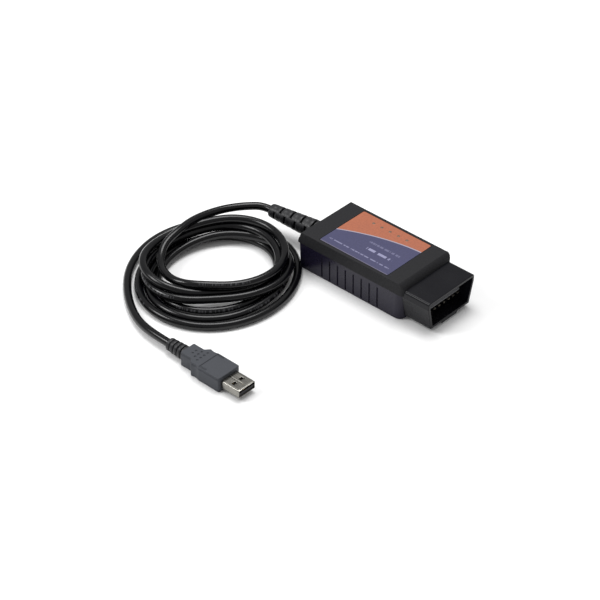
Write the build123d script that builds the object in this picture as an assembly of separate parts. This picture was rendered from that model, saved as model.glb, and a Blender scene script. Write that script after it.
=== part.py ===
from build123d import *
import math
import os

# OBD code reader: a two-part plastic case with a 16-way diagnostic plug on its front, a moulded
# strain relief at its back, and a lead that lies in a loose coil and ends in a USB-A plug.
# Millimetres. +X runs along the case towards the diagnostic plug, +Z is up, and the case stands
# on z = 0. The origin is under the middle of the case and plug.

# ---- driving dimensions -------------------------------------------------------------------
READER_LENGTH = 91.4          # case and diagnostic plug together
PLUG_REACH = 16.9             # how far the diagnostic plug stands out of the case
CASE_WIDTH = 41.6
CASE_TOP = 24.3
PARTING = 17.1                # height of the line between the two case halves
WALL = 1.8

CASE_REAR = -READER_LENGTH / 2
MOUTH = READER_LENGTH / 2
CASE_FRONT = MOUTH - PLUG_REACH
REAR_SLOPE, REAR_DROP = 2.6, 6.6      # slanted rear end of the cover
FRONT_SLOPE, FRONT_DROP = 3.2, 4.4    # slanted front end of the cover
FRONT_BULGE = 0.7                     # how far the slanted front swells outwards
TOP_REAR = CASE_REAR + REAR_SLOPE
TOP_FRONT = CASE_FRONT - FRONT_SLOPE

# lower case
LOWER_INSET = 0.3             # step under the cover's edge
LOWER_DRAFT = 3.0             # degrees
FOOT_INSET = LOWER_INSET + PARTING * math.tan(math.radians(LOWER_DRAFT))
FLOOR = 1.8
INSIDE_REAR = CASE_REAR + FOOT_INSET + 1.6
INSIDE_FRONT = CASE_FRONT - FOOT_INSET - 1.6
INSIDE_HALF = CASE_WIDTH / 2 - FOOT_INSET - 1.6
RIM_SIDE, RIM_END, RIM_TALL = 0.8, 0.5, 0.9
GRIP_COUNT, GRIP_PITCH = 8, 5.65
GRIP_WIDTH, GRIP_DEPTH = 1.1, 0.55
GRIP_LOW, GRIP_HIGH = 1.4, 14.6

# label
LABEL_LENGTH, LABEL_WIDTH, LABEL_THICK = 47.8, 37.1, 0.3
LABEL_X = TOP_REAR + 11.4 + LABEL_LENGTH / 2
LABEL_GAP = 0.3
LIGHT_COUNT, LIGHT_PITCH, LIGHT_X, LIGHT_Y = 5, 5.9, -8.5, 13.3
LIGHT_HOLE_R = 1.0

# circuit board and screws
BOARD_LOW, BOARD_THICK = 10.5, 1.6
BOARD_TOP = BOARD_LOW + BOARD_THICK
BOARD_REAR, BOARD_FRONT = -36.0, 22.6
BOARD_HALF = 17.2
SCREW_PLACES = [(x, y) for x in (-30.0, 13.0) for y in (-14.0, 14.0)]
BOSS_R, SCREW_R, SCREW_HEAD_R = 2.9, 1.2, 2.2
SCREW_HEAD_LOW, SCREW_HEAD_TALL, SCREW_SHANK = 1.2, 1.6, 15.6
SCREW_SEAT = SCREW_HEAD_LOW + SCREW_HEAD_TALL

# diagnostic plug
PLUG_LOW, PLUG_HIGH = 2.3, 20.2
PLUG_HALF, PLUG_FOOT_HALF, PLUG_SHOULDER = 19.3, 16.4, 16.0
PLUG_SKIN = 1.5
PLUG_BACK = CASE_FRONT - FOOT_INSET
FLANGE_THICK = 2.2
NECK_INSET, CARRIER_INSET = 1.6, 2.2
FLANGE_HALF, FLANGE_LOW, FLANGE_HIGH = 17.9, 2.2, 18.6
KEY_HALF, KEY_PROUD = 7.4, 1.4
CARRIER_FACE = 32.0
TONGUE_REACH, TONGUE_HALF, TONGUE_THICK = 9.0, 13.0, 1.6
PIN_COUNT, PIN_PITCH = 8, 4.0
PIN_ROW_HALF = 3.8
PIN_MID = (PLUG_LOW + PLUG_HIGH) / 2
PIN_TIP, PIN_WIDE, PIN_THICK = 40.0, 1.5, 0.8
PIN_TAIL_X = {1: 21.0, -1: 18.4}

# strain relief and cable
EXIT_Z = 12.15
CABLE_D = 4.65
BOOT_LENGTH, BOOT_ROOT_R, BOOT_TIP_R = 35.7, 6.1, 3.9
BOOT_YAW, BOOT_LIFT = 5.6, 0.9         # degrees the boot leans to the side and up
BOOT_NECK_R, BOOT_CORE_R = 4.85, 2.9
BOOT_SLOT, BOOT_SLOT_PITCH = 1.2, 7.4
BOOT_COLLAR, BOOT_COLLAR_R = 1.6, 6.6    # square-on ring against the case
BOOT_SLOT_SHARE = (0.74, 0.56)  # half width of the upright and the sideways slots, of the radius there
GLAND_THICK, GLAND_WIDE, GLAND_TALL = 1.5, 15.0, 9.7
STUB_LENGTH = 2.4

# USB plug, in line with the case and in front of the coil
USB_X, USB_Y = -1.2, -122.2            # where the metal shell leaves the grip, and its axis
USB_SHELL_LENGTH, USB_SHELL_WIDE, USB_SHELL_TALL, USB_SHELL_SKIN = 12.4, 12.0, 4.5, 0.3
USB_GRIP_WIDE, USB_GRIP_TALL = 15.6, 9.0
USB_BLOCK, USB_WAIST, USB_SHOULDER, USB_NECK = 14.4, 5.4, 2.8, 7.2
USB_WAIST_IN, USB_NECK_WIDE = 0.5, 10.0
USB_BOOT_LENGTH, USB_BOOT_ROOT_R, USB_BOOT_TIP_R = 12.6, 4.1, 3.6
USB_BOOT_RINGS = 4
USB_AXIS_Z = USB_GRIP_TALL / 2
USB_GRIP_REAR = USB_X - USB_BLOCK - USB_WAIST - USB_SHOULDER - USB_NECK
USB_BOOT_REAR = USB_GRIP_REAR - USB_BOOT_LENGTH

# coil: the closed outer shape of six loose turns
COIL_X, COIL_Y = -67.6, -60.6
COIL_HALF_X, COIL_HALF_Y = 42.4, 48.2
COIL_HOLE_X, COIL_HOLE_Y, COIL_HOLE_R = -72.4, -56.4, 26.0
COIL_LOW_SIDE, COIL_HIGH_SIDE = 11.0, 17.4


def save(name, shape):
    solids = shape.solids()
    shape = solids[0] if len(solids) == 1 else Compound(children=list(solids))
    shape.label = name
    export_step(shape, f"parts/{name}.step")


def block(x0, x1, y0, y1, z0, z1):
    middle = Pos((x0 + x1) / 2, (y0 + y1) / 2, (z0 + z1) / 2)
    return middle * Box(x1 - x0, y1 - y0, z1 - z0)


def rod(x, y, z0, z1, radius):
    return Pos(x, y, (z0 + z1) / 2) * Cylinder(radius, z1 - z0)


def along_x(outline, x0, x1):
    """Solid of an outline drawn as (y, z), from x0 to x1."""
    plane = Plane(origin=(x0, 0, 0), x_dir=(0, 1, 0), z_dir=(1, 0, 0))
    return extrude(plane * outline, amount=x1 - x0)


def joined(pieces):
    pieces = list(pieces)
    return pieces[0].fuse(*pieces[1:]) if len(pieces) > 1 else pieces[0]


# ---- case ---------------------------------------------------------------------------------
def cover_side(inset=0):
    """Side view of the cover as (x, z), with its walls moved in by inset and its foot open."""
    rear_shift = inset * math.tan(math.atan2(REAR_SLOPE, REAR_DROP) / 2)
    front_shift = inset * math.tan(math.atan2(FRONT_SLOPE, FRONT_DROP) / 2)
    top_rear_shift = inset * math.tan(math.atan2(REAR_DROP, REAR_SLOPE) / 2)
    top_front_shift = inset * math.tan(math.atan2(FRONT_DROP, FRONT_SLOPE) / 2)
    above = (TOP_FRONT - top_front_shift, CASE_TOP - inset)
    below = (CASE_FRONT - inset, CASE_TOP - FRONT_DROP - front_shift)
    slope = math.hypot(FRONT_SLOPE, FRONT_DROP)
    swell = (
        (above[0] + below[0]) / 2 + FRONT_BULGE * FRONT_DROP / slope,
        (above[1] + below[1]) / 2 + FRONT_BULGE * FRONT_SLOPE / slope,
    )
    straight = [
        below,
        (CASE_FRONT - inset, PARTING - inset),
        (CASE_REAR + inset, PARTING - inset),
        (CASE_REAR + inset, CASE_TOP - REAR_DROP - rear_shift),
        (TOP_REAR + top_rear_shift, CASE_TOP - inset),
        above,
    ]
    return make_face([ThreePointArc(above, swell, below), Polyline(*straight)])


def across(outline, half):
    plane = Plane(origin=(0, half, 0), x_dir=(1, 0, 0), z_dir=(0, -1, 0))
    return extrude(plane * outline, amount=2 * half)


def cover_plan():
    """Plan of the cover, with its front corners rounder than its rear ones."""
    middle = (CASE_FRONT + CASE_REAR) / 2
    plan = Pos(middle, 0) * Rectangle(CASE_FRONT - CASE_REAR, CASE_WIDTH)
    plan = fillet(plan.vertices().filter_by(lambda v: v.X > middle), 2.4)
    return fillet(plan.vertices().sort_by(Axis.X)[:2], 0.8)


def top_edges(body):
    def wanted(edge):
        return edge.center().Z > CASE_TOP - 0.01
    return body.edges().filter_by(wanted)


def top_cover():
    body = across(cover_side(), CASE_WIDTH / 2) & extrude(cover_plan(), amount=CASE_TOP + 1)
    body = fillet(top_edges(body), 0.5)
    body -= across(cover_side(WALL), CASE_WIDTH / 2 - WALL)
    for x, y in SCREW_PLACES:
        body += rod(x, y, BOARD_TOP, CASE_TOP - WALL + 0.2, BOSS_R)
        body -= rod(x, y, BOARD_TOP - 1.0, SCREW_SEAT + SCREW_SHANK + 0.6, SCREW_R + 0.03)
    recess = CASE_TOP - LABEL_THICK
    body -= block(
        LABEL_X - LABEL_LENGTH / 2 - LABEL_GAP,
        LABEL_X + LABEL_LENGTH / 2 + LABEL_GAP,
        -LABEL_WIDTH / 2 - LABEL_GAP,
        LABEL_WIDTH / 2 + LABEL_GAP,
        recess,
        CASE_TOP + 1.0,
    )
    for x, y in light_places():
        body -= rod(x, y, recess - WALL - 1.0, CASE_TOP, LIGHT_HOLE_R)
    body -= along_x(plug_outline(NECK_INSET), INSIDE_FRONT - 2.0, CASE_FRONT + 1.0)
    body -= along_x(plug_outline(-0.05), PLUG_BACK, CASE_FRONT + 1.0)
    return body


def light_places():
    return [(LIGHT_X + (i - (LIGHT_COUNT - 1) / 2) * LIGHT_PITCH, LIGHT_Y) for i in range(LIGHT_COUNT)]


def lower_plan():
    """Plan of the lower case at the parting line."""
    length = CASE_FRONT - CASE_REAR - 2 * LOWER_INSET
    width = CASE_WIDTH - 2 * LOWER_INSET
    middle = (CASE_FRONT + CASE_REAR) / 2
    plan = Pos(middle, 0) * Rectangle(length, width)
    plan = fillet(plan.vertices().filter_by(lambda v: v.X > middle), 5.0)
    return fillet(plan.vertices().sort_by(Axis.X)[:2], 2.0)


def grip_grooves():
    middle = (CASE_REAR + CASE_FRONT) / 2
    wall_middle = (GRIP_LOW + GRIP_HIGH) / 2
    wall_y = CASE_WIDTH / 2 - LOWER_INSET - (PARTING - wall_middle) * math.tan(math.radians(LOWER_DRAFT))
    cutter = Box(GRIP_WIDTH, 2 * GRIP_DEPTH, GRIP_HIGH - GRIP_LOW)
    for i in range(GRIP_COUNT):
        x = middle + (i - (GRIP_COUNT - 1) / 2) * GRIP_PITCH
        for side in (-1, 1):
            yield Pos(x, side * wall_y, wall_middle) * Rot(-side * LOWER_DRAFT, 0, 0) * cutter


def bottom_case():
    face = Pos(0, 0, PARTING) * lower_plan()
    body = extrude(face, amount=PARTING, dir=(0, 0, -1), taper=LOWER_DRAFT)
    body = fillet(body.edges().group_by(Axis.Z)[0], 0.8)
    body += block(
        INSIDE_REAR - RIM_END,
        INSIDE_FRONT + RIM_END,
        -INSIDE_HALF - RIM_SIDE,
        INSIDE_HALF + RIM_SIDE,
        PARTING,
        PARTING + RIM_TALL,
    )
    body -= block(INSIDE_REAR, INSIDE_FRONT, -INSIDE_HALF, INSIDE_HALF, FLOOR, PARTING + 2.0)
    body -= joined(grip_grooves())
    for x, y in SCREW_PLACES:
        body += rod(x, y, FLOOR - 0.2, BOARD_LOW, BOSS_R)
        body -= rod(x, y, -1.0, SCREW_SEAT, SCREW_HEAD_R + 0.3)
        body -= rod(x, y, 0, BOARD_LOW + 1.0, SCREW_R + 0.2)
        body += rod(x, y, SCREW_SEAT, SCREW_SEAT + 1.4, BOSS_R) - rod(x, y, 0, BOARD_LOW, SCREW_R + 0.2)
    body -= along_x(plug_outline(NECK_INSET), INSIDE_FRONT - 2.0, CASE_FRONT + 1.0)
    body -= along_x(plug_outline(0), PLUG_BACK, CASE_FRONT + 1.0)
    body -= block(PLUG_BACK, CASE_FRONT + 1, -PLUG_HALF, PLUG_HALF, PARTING, PLUG_HIGH)
    body -= Pos(CASE_REAR, 0, EXIT_Z) * Rot(0, 90, 0) * Cylinder(BOOT_NECK_R, 12)
    body -= block(
        INSIDE_REAR - 1.0, INSIDE_REAR + 0.1, -GLAND_WIDE / 2, GLAND_WIDE / 2, PARTING, PARTING + 2.0
    )
    return body


def front_label():
    top = CASE_TOP
    sheet = block(
        LABEL_X - LABEL_LENGTH / 2,
        LABEL_X + LABEL_LENGTH / 2,
        -LABEL_WIDTH / 2,
        LABEL_WIDTH / 2,
        top - LABEL_THICK,
        top,
    )
    return fillet(sheet.edges().filter_by(Axis.Z), 0.8)


def case_screws():
    for x, y in SCREW_PLACES:
        head = rod(x, y, SCREW_HEAD_LOW, SCREW_SEAT, SCREW_HEAD_R)
        head -= block(x - 1.7, x + 1.7, y - 0.3, y + 0.3, SCREW_HEAD_LOW - 1, SCREW_HEAD_LOW + 0.9)
        head -= block(x - 0.3, x + 0.3, y - 1.7, y + 1.7, SCREW_HEAD_LOW - 1, SCREW_HEAD_LOW + 0.9)
        yield head + rod(x, y, SCREW_SEAT, SCREW_SEAT + SCREW_SHANK, SCREW_R)


# ---- diagnostic plug ----------------------------------------------------------------------
def plug_outline(inset):
    """Mouth of the plug as (y, z), wide side up, moved in by inset."""
    half, foot = PLUG_HALF - inset, PLUG_FOOT_HALF - inset
    low, high = PLUG_LOW + inset, PLUG_HIGH - inset
    points = [(-half, high), (half, high), (half, PLUG_SHOULDER), (foot, low), (-foot, low), (-half, PLUG_SHOULDER)]
    outline = make_face(Polyline(*points, close=True))
    outline = fillet(outline.vertices().group_by(Axis.Y)[-1], max(1.5 - inset / 2, 0.6))
    return fillet(outline.vertices().group_by(Axis.Y)[0], max(0.9 - inset / 2, 0.4))


def obd_plug_shell():
    body = along_x(plug_outline(0), PLUG_BACK, MOUTH)
    body = fillet(body.edges().group_by(Axis.X)[-1], 0.4)
    key = [
        (-KEY_HALF, PLUG_LOW + 0.5),
        (KEY_HALF, PLUG_LOW + 0.5),
        (KEY_HALF - 1.2, PLUG_LOW - KEY_PROUD),
        (1.2 - KEY_HALF, PLUG_LOW - KEY_PROUD),
    ]
    body += along_x(make_face(Polyline(*key, close=True)), CASE_FRONT, MOUTH - 0.4)
    body += along_x(plug_outline(NECK_INSET), INSIDE_FRONT, PLUG_BACK)
    body += block(
        INSIDE_FRONT - FLANGE_THICK, INSIDE_FRONT, -FLANGE_HALF, FLANGE_HALF, FLANGE_LOW, FLANGE_HIGH
    )
    body -= along_x(plug_outline(PLUG_SKIN), CARRIER_FACE, MOUTH + 1.0)
    body -= along_x(plug_outline(CARRIER_INSET), INSIDE_FRONT - FLANGE_THICK - 1.0, CARRIER_FACE)
    return body


def pin_spots(row):
    z = PIN_MID + row * PIN_ROW_HALF
    return [((i - (PIN_COUNT - 1) / 2) * PIN_PITCH, z) for i in range(PIN_COUNT)]


def pin_carrier():
    body = along_x(plug_outline(CARRIER_INSET), INSIDE_FRONT - FLANGE_THICK, CARRIER_FACE)
    tongue = block(
        CARRIER_FACE - 1.0,
        CARRIER_FACE + TONGUE_REACH,
        -TONGUE_HALF,
        TONGUE_HALF,
        PIN_MID - TONGUE_THICK / 2,
        PIN_MID + TONGUE_THICK / 2,
    )
    body += chamfer(tongue.edges().filter_by(Axis.Y).group_by(Axis.X)[-1], 0.5)
    for row in (-1, 1):
        for y, z in pin_spots(row):
            body -= block(
                BOARD_FRONT, CARRIER_FACE + 1, y - PIN_WIDE / 2, y + PIN_WIDE / 2, z - PIN_THICK / 2, z + PIN_THICK / 2
            )
    return body


def pin_row(row):
    """Eight pins of one row, each bent towards the board behind the carrier."""
    tail_x = PIN_TAIL_X[row]
    for y, z in pin_spots(row):
        blade = block(tail_x, PIN_TIP, y - PIN_WIDE / 2, y + PIN_WIDE / 2, z - PIN_THICK / 2, z + PIN_THICK / 2)
        blade = chamfer(blade.edges().group_by(Axis.X)[-1], 0.3)
        board_side = BOARD_LOW - 0.9 if row > 0 else BOARD_TOP + 0.9
        low, high = sorted((z + row * PIN_THICK / 2, board_side))
        yield blade + block(tail_x, tail_x + 0.8, y - 0.4, y + 0.4, low, high)


# ---- electronics --------------------------------------------------------------------------
def circuit_board():
    body = block(BOARD_REAR, BOARD_FRONT, -BOARD_HALF, BOARD_HALF, BOARD_LOW, BOARD_TOP)
    body = fillet(body.edges().filter_by(Axis.Z), 1.0)
    for x, y in SCREW_PLACES:
        body -= rod(x, y, BOARD_LOW - 1, BOARD_TOP + 1, SCREW_R + 0.3)
    for row in (-1, 1):
        for y, _ in pin_spots(row):
            body -= rod(PIN_TAIL_X[row] + 0.4, y, BOARD_LOW - 1, BOARD_TOP + 1, 0.6)
    return body


def chip(x, y, length, width, tall, legs, pitch, turned=False):
    """Gull-wing package with legs along both long sides, lying on the board."""
    body = block(-length / 2, length / 2, -width / 2, width / 2, 0.15, tall)
    body = chamfer(body.edges().group_by(Axis.Z)[-1], 0.2)
    leg_w = pitch * 0.34
    for i in range(legs):
        at = (i - (legs - 1) / 2) * pitch
        for side in (-1, 1):
            near, far = sorted((side * (width / 2 - 0.1), side * (width / 2 + 1.0)))
            shin, toe = sorted((side * (width / 2 + 0.4), side * (width / 2 + 1.0)))
            body += block(at - leg_w, at + leg_w, near, far, tall / 2 - 0.1, tall / 2 + 0.1)
            body += block(at - leg_w, at + leg_w, shin, toe, 0, tall / 2)
    return Pos(x, y, BOARD_TOP) * Rot(0, 0, 90 if turned else 0) * body


def crystals():
    for x in (-16.0, 4.0):
        can = Pos(x, -12.2, BOARD_TOP + 1.75) * extrude(SlotOverall(11.2, 4.6), amount=1.75, both=True)
        can = fillet(can.edges().group_by(Axis.Z)[-1], 0.6)
        yield can + block(x - 5.7, x + 5.7, -14.6, -9.8, BOARD_TOP, BOARD_TOP + 0.4)


def voltage_regulator():
    body = block(-25.8, -19.6, 5.9, 12.4, BOARD_TOP, BOARD_TOP + 2.3)
    body += block(-27.6, -25.8, 6.4, 11.7, BOARD_TOP, BOARD_TOP + 0.9)
    for y in (6.9, 9.15, 11.4):
        body += block(-19.6, -17.4, y - 0.4, y + 0.4, BOARD_TOP, BOARD_TOP + 0.6)
    return body


def electrolytic_capacitors():
    for x, y, radius in ((-12.5, 7.5, 3.15), (-5.0, 7.5, 2.5)):
        base = block(x - radius, x + radius, y - radius, y + radius, BOARD_TOP, BOARD_TOP + 0.8)
        can = rod(x, y, BOARD_TOP + 0.8, BOARD_TOP + 5.4, radius)
        yield base + fillet(can.edges().group_by(Axis.Z)[-1], 0.5)


def chip_components():
    columns = [(-24.0, -12.5), (-24.0, -9.5), (-6.0, -12.5), (-6.0, -9.5), (-3.2, -12.5), (-3.2, -9.5)]
    columns += [(16.4, y) for y in (-8.8, -5.6, -2.4, 0.8, 4.0, 7.2)]
    columns += [(x, y) for x in (0.6, 4.4) for y in (6.5, 9.6)]
    for x, y in columns:
        yield block(x - 1.0, x + 1.0, y - 0.6, y + 0.6, BOARD_TOP, BOARD_TOP + 0.6)


def indicator_leds():
    for x, y in light_places():
        base = block(x - 1.0, x + 1.0, y - 0.6, y + 0.6, BOARD_TOP, BOARD_TOP + 0.4)
        yield base + block(x - 0.6, x + 0.6, y - 0.6, y + 0.6, BOARD_TOP + 0.4, BOARD_TOP + 0.9)


HEADER_BACK, HEADER_FRONT, HEADER_HALF, HEADER_TALL = -32.0, -25.6, 5.6, 4.8
CONDUCTOR_R, CONDUCTOR_Z = 0.55, BOARD_TOP + 2.4
CONDUCTOR_PITCH = 2.0


def cable_header():
    body = block(HEADER_BACK + 1.2, HEADER_FRONT, -HEADER_HALF, HEADER_HALF, BOARD_TOP, BOARD_TOP + HEADER_TALL)
    body -= block(
        HEADER_BACK, HEADER_FRONT - 1.0, 0.8 - HEADER_HALF, HEADER_HALF - 0.8, BOARD_TOP + 0.8, BOARD_TOP + 4.0
    )
    return body


def cable_connector():
    return block(
        HEADER_BACK, HEADER_FRONT - 1.0, 0.8 - HEADER_HALF, HEADER_HALF - 0.8, BOARD_TOP + 0.8, BOARD_TOP + 4.0
    )


def conductor(slot):
    """One of the four inner wires, from the cable's stripped end to the connector."""
    offset_y = (slot - 1.5) * CONDUCTOR_PITCH
    start_x = INSIDE_REAR + GLAND_THICK + STUB_LENGTH
    start_y = (slot - 1.5) * 1.15
    points = [
        (start_x, start_y, EXIT_Z),
        (start_x + 0.8, start_y, EXIT_Z),
        (start_x + 3.0, offset_y, CONDUCTOR_Z),
        (HEADER_BACK, offset_y, CONDUCTOR_Z),
    ]
    path = FilletPolyline(*points, radius=1.0)
    return sweep(Plane(origin=path @ 0, z_dir=path % 0) * Circle(CONDUCTOR_R), path=path)


# ---- strain relief and cord ---------------------------------------------------------------
def boot_axis():
    turn = Rot(0, 0, BOOT_YAW) * Rot(0, BOOT_LIFT, 0)
    return Pos(CASE_REAR, 0, EXIT_Z) * turn


def strain_relief():
    """Tapered boot with slots on alternate sides, its neck through the wall and its inner flange."""
    side = [
        (-BOOT_COLLAR / 2, 0),
        (-BOOT_COLLAR / 2, BOOT_ROOT_R),
        (-2 * BOOT_COLLAR, BOOT_ROOT_R),
        (-BOOT_LENGTH, BOOT_TIP_R),
        (-BOOT_LENGTH, 0),
    ]
    boot = revolve(Plane.XZ * make_face(Polyline(*side, close=True)), Axis.X)
    boot = fillet(boot.edges().group_by(Axis.X)[0], 0.8)
    slots = int((BOOT_LENGTH - 6.0) / (BOOT_SLOT_PITCH / 2))
    for i in range(slots):
        along = 5.2 + i * BOOT_SLOT_PITCH / 2
        radius = BOOT_ROOT_R + (BOOT_TIP_R - BOOT_ROOT_R) * along / BOOT_LENGTH
        half = BOOT_SLOT_SHARE[i % 2] * radius
        window = Box(2 * BOOT_SLOT, 2 * half, 30) if i % 2 == 0 else Box(2 * BOOT_SLOT, 30, 2 * half)
        ring = Rot(0, 90, 0) * (Cylinder(9, BOOT_SLOT) - Cylinder(BOOT_CORE_R, 2 * BOOT_SLOT))
        boot -= Pos(-along, 0, 0) * (ring & window)
    boot = boot_axis() * boot
    collar = Pos(CASE_REAR - BOOT_COLLAR / 2, 0, EXIT_Z) * Rot(0, 90, 0) * Cylinder(BOOT_COLLAR_R, BOOT_COLLAR)
    neck = Pos((CASE_REAR + INSIDE_REAR) / 2, 0, EXIT_Z) * Rot(0, 90, 0) * Cylinder(
        BOOT_NECK_R, INSIDE_REAR - CASE_REAR + 0.6
    )
    flange = block(
        INSIDE_REAR,
        INSIDE_REAR + GLAND_THICK,
        -GLAND_WIDE / 2,
        GLAND_WIDE / 2,
        EXIT_Z - GLAND_TALL / 2,
        EXIT_Z + GLAND_TALL / 2,
    )
    return boot + collar + neck + fillet(flange.edges().filter_by(Axis.X), 2.0)


def cable_stub():
    start = INSIDE_REAR + GLAND_THICK
    return Pos(start + STUB_LENGTH / 2, 0, EXIT_Z) * Rot(0, 90, 0) * Cylinder(CABLE_D / 2, STUB_LENGTH)


LEAD_STRAIGHT = 6.0           # the cable keeps the boot's direction this far
BOOT_TIP = boot_axis() * Pos(-BOOT_LENGTH, 0, 0)
LEAD_ROUTE = [
    tuple(BOOT_TIP.position),
    tuple((BOOT_TIP * Pos(-LEAD_STRAIGHT, 0, 0)).position),
    (-92.6, -9.6, 12.9),
    (-96.8, -15.4, 13.1),
    (-100.6, -23.0, 13.4),
    (-103.2, -33.4, 14.0),
    (-104.0, -45.0, 14.6),
    (-102.4, -57.0, 14.4),
]
TAIL_ROUTE = [
    (-78.0, -17.2, CABLE_D / 2 + 0.02),
    (-95.0, -19.2, CABLE_D / 2 + 0.02),
    (-110.4, -28.6, CABLE_D / 2 + 0.02),
    (-117.0, -42.4, CABLE_D / 2 + 0.02),
    (-118.9, -58.4, CABLE_D / 2 + 0.02),
    (-115.6, -74.4, CABLE_D / 2 + 0.02),
    (-108.4, -89.0, CABLE_D / 2 + 0.02),
    (-97.4, -101.4, CABLE_D / 2 + 0.05),
    (-84.2, -111.6, CABLE_D / 2 + 0.2),
    (-70.4, -119.0, CABLE_D / 2 + 0.9),
    (USB_BOOT_REAR - 12.6, USB_Y, USB_AXIS_Z),
    (USB_BOOT_REAR, USB_Y, USB_AXIS_Z),
]


def arc_radii(route):
    """Each arc takes 0.45 of its shorter run."""
    points = [Vector(*p) for p in route]
    radii = []
    for before, here, after in zip(points, points[1:], points[2:]):
        turn = math.radians((here - before).get_angle(after - here))
        shorter = min((here - before).length, (after - here).length)
        radii.append(0.45 * shorter / math.tan(turn / 2))
    return radii


def cable_tube(name, route):
    radii = arc_radii(route)
    path = FilletPolyline(*route, radius=radii)
    tube = sweep(Plane(origin=path @ 0, z_dir=path % 0) * Circle(CABLE_D / 2), path=path)
    expected = math.pi * CABLE_D ** 2 / 4 * path.length
    print(name, "radii", [round(r, 1) for r in radii])
    print(name, "length", round(path.length, 1), "volume ratio", round(tube.volume / expected, 4))
    return tube


def cable_coil():
    outer = Pos(COIL_X, COIL_Y) * Ellipse(COIL_HALF_X, COIL_HALF_Y)
    hole = Pos(COIL_HOLE_X, COIL_HOLE_Y) * Circle(COIL_HOLE_R)
    ring = extrude(outer - hole, amount=COIL_HIGH_SIDE + 1)
    away = Vector(-0.66, 0.75, 0)
    rise = (COIL_HIGH_SIDE - COIL_LOW_SIDE) / (COIL_HALF_X + COIL_HALF_Y)
    top = Plane(
        origin=(COIL_X, COIL_Y, (COIL_LOW_SIDE + COIL_HIGH_SIDE) / 2),
        z_dir=(-away.X * rise, -away.Y * rise, 1),
    )
    return split(ring, bisect_by=top, keep=Keep.BOTTOM)


def largest(shape):
    return shape.solids().sort_by(SortBy.VOLUME)[-1]


# ---- USB plug -----------------------------------------------------------------------------
def usb_grip():
    """Moulded grip in plan: neck, slanted shoulder, slight waist and front block."""
    half, waist, neck = USB_GRIP_WIDE / 2, USB_GRIP_WIDE / 2 - USB_WAIST_IN, USB_NECK_WIDE / 2
    x0 = USB_GRIP_REAR
    x1 = x0 + USB_NECK
    x2 = x1 + USB_SHOULDER
    x3 = x2 + USB_WAIST
    upper = [(x0, neck), (x1, neck), (x2, half - 0.2), (x2 + USB_WAIST / 2, waist), (x3, half), (USB_X, half)]
    lower = [(x, -y) for x, y in reversed(upper)]
    body = extrude(Pos(0, USB_Y) * make_face(Polyline(*upper, *lower, close=True)), amount=USB_GRIP_TALL)
    body = fillet(body.edges().filter_by(Axis.Z).group_by(Axis.X)[-1], 1.0)
    body = chamfer(body.edges().group_by(Axis.Z)[0] + body.edges().group_by(Axis.Z)[-1], 0.45)
    body -= block(x3 - 0.3, x3 + 0.3, USB_Y - 9, USB_Y + 9, USB_GRIP_TALL - 0.35, USB_GRIP_TALL + 1)
    body -= block(
        USB_X - 1.6, USB_X + 1, USB_Y - USB_SHELL_WIDE / 2, USB_Y + USB_SHELL_WIDE / 2, usb_low(), usb_high()
    )
    return body


def usb_low():
    return USB_AXIS_Z - USB_SHELL_TALL / 2


def usb_high():
    return USB_AXIS_Z + USB_SHELL_TALL / 2


def usb_shell():
    start, end = USB_X - 1.6, USB_X + USB_SHELL_LENGTH
    half = USB_SHELL_WIDE / 2
    body = block(start, end, USB_Y - half, USB_Y + half, usb_low(), usb_high())
    body = fillet(body.edges().filter_by(Axis.X), 0.5)
    skin = USB_SHELL_SKIN
    body -= block(start - 1, end + 1, USB_Y - half + skin, USB_Y + half - skin, usb_low() + skin, usb_high() - skin)
    for side in (-1, 1):
        for z in (usb_low(), usb_high()):
            body -= Pos(USB_X + 6.4, USB_Y + side * 2.6, z) * Box(2.5, 2.5, 1.0)
    return body


def usb_insulator():
    skin = USB_SHELL_SKIN
    half = USB_SHELL_WIDE / 2 - skin
    low = usb_low() + skin
    body = block(USB_X - 1.6, USB_X + USB_SHELL_LENGTH - 0.7, USB_Y - half, USB_Y + half, low, low + 1.85)
    for y in usb_contact_lines():
        body -= block(USB_X + 1.0, USB_X + USB_SHELL_LENGTH, y - 0.6, y + 0.6, low + 1.65, low + 2)
    return body


def usb_contact_lines():
    return [USB_Y + y for y in (-3.5, -1.0, 1.0, 3.5)]


def usb_contacts():
    low = usb_low() + USB_SHELL_SKIN + 1.65
    for y in usb_contact_lines():
        yield block(USB_X + 1.0, USB_X + USB_SHELL_LENGTH - 1.4, y - 0.5, y + 0.5, low, low + 0.25)


def usb_boot():
    rear = USB_GRIP_REAR - USB_BOOT_LENGTH
    side = [(0, 0), (0, USB_BOOT_TIP_R), (USB_BOOT_LENGTH, USB_BOOT_ROOT_R), (USB_BOOT_LENGTH, 0)]
    body = revolve(Plane.XZ * make_face(Polyline(*side, close=True)), Axis.X)
    pitch = (USB_BOOT_LENGTH - 2.0) / USB_BOOT_RINGS
    for i in range(USB_BOOT_RINGS):
        x = 2.0 + (i + 0.5) * pitch
        body -= Pos(x, 0, 0) * Rot(0, 90, 0) * (Cylinder(6, 1.2) - Cylinder(2.7, 3))
    return Pos(rear, USB_Y, USB_AXIS_Z) * body


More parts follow.
